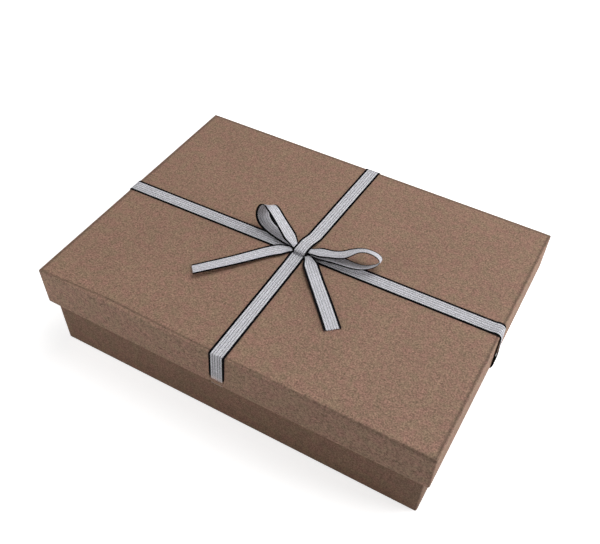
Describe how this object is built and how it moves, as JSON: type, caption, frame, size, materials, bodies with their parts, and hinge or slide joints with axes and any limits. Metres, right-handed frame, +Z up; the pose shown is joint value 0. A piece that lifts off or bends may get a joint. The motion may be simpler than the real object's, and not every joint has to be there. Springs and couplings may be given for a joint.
{
  "type": "gift box with lift-off lid",
  "caption": "Shallow rigid gift box covered in brown paper, with a lift-off lid and a flat ribbon crossed over the lid and tied in a small bow.",
  "frame": {"origin": "centre of the closed box's underside, on the surface it stands on", "axes": "+X along the long side, -Y towards the front long side that the bow's tails point to, +Z up"},
  "size_m": [0.241, 0.177, 0.0768],
  "materials": {
    "cover_paper": "matte brown kraft paper with fine fibres",
    "liner_paper": "matte pale brown paper",
    "greyboard": "matte grey board",
    "stay_paper": "matte gummed paper",
    "ribbon": "woven silver grey with black edges, soft sheen"
  },
  "bodies": {
    "tray": {"tray_floor_board": "greyboard", "tray_front_board": "greyboard", "tray_back_board": "greyboard", "tray_left_board": "greyboard", "tray_right_board": "greyboard", "tray_stay_front_left": "stay_paper", "tray_stay_front_right": "stay_paper", "tray_stay_back_left": "stay_paper", "tray_stay_back_right": "stay_paper", "tray_wrap": "cover_paper", "tray_base_sheet": "cover_paper", "tray_floor_liner": "liner_paper"},
    "lid": {"lid_top_board": "greyboard", "lid_front_board": "greyboard", "lid_back_board": "greyboard", "lid_left_board": "greyboard", "lid_right_board": "greyboard", "lid_stay_front_left": "stay_paper", "lid_stay_front_right": "stay_paper", "lid_stay_back_left": "stay_paper", "lid_stay_back_right": "stay_paper", "lid_wrap": "cover_paper", "lid_top_liner": "liner_paper", "ribbon_long": "ribbon", "ribbon_cross_back": "ribbon", "ribbon_cross_front": "ribbon", "bow_left_loop": "ribbon", "bow_right_loop": "ribbon", "bow_left_tail": "ribbon", "bow_right_tail": "ribbon"}
  },
  "joints": [
    {"name": "lid_lift", "type": "slide", "parent": "tray", "child": "lid", "axis": [0, 0, 1], "range_m": [0, 0.1]}
  ]
}
